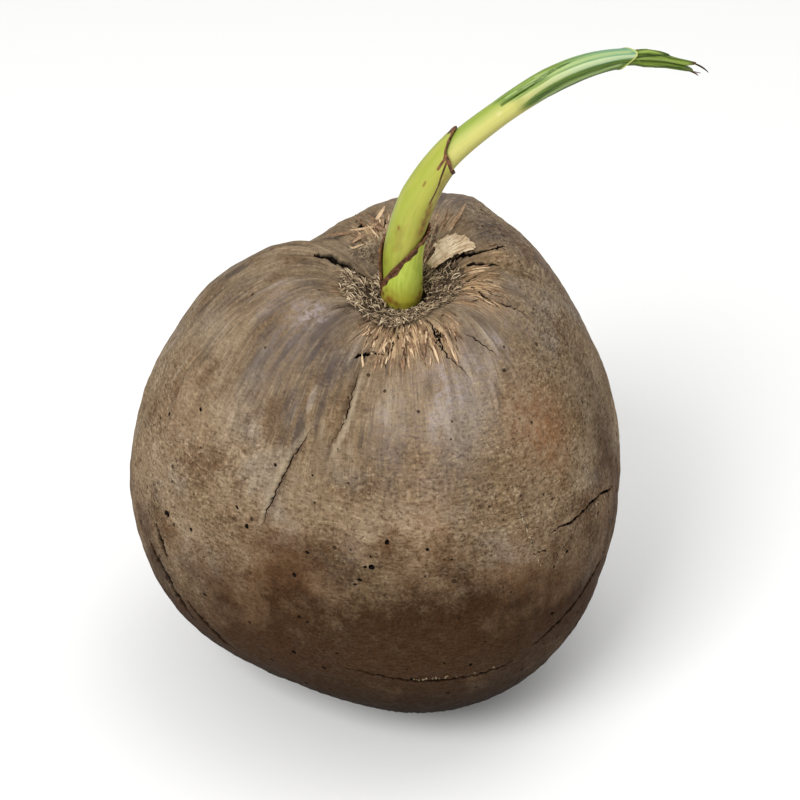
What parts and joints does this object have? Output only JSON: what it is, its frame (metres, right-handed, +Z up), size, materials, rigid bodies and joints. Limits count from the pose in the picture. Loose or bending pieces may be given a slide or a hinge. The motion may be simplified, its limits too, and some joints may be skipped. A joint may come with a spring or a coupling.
{
  "type": "sprouted coconut",
  "caption": "Whole coconut in its dry husk, standing on a small flat spot, with a green shoot of nested, folded leaves growing from its dimpled top.",
  "frame": {"origin": "on the surface that the nut rests on, under the foot of the shoot", "axes": "+Z up, the shoot bends over towards +X, and the split shoulder and the long creases face -Y"},
  "size_m": [0.2362, 0.2099, 0.2961],
  "materials": {
    "dry_husk": "dry, fibrous and matte",
    "scale_green": "smooth, waxy young leaf",
    "sheath_green": "smooth, waxy young leaf",
    "leaf_green": "satin, pleated leaf",
    "spear_green": "satin, pleated leaf"
  },
  "bodies": {
    "root": {"husk": "dry_husk", "scale_leaf": "scale_green", "sheath": "sheath_green", "first_leaf": "leaf_green", "spear_leaf": "spear_green"}
  },
  "joints": []
}
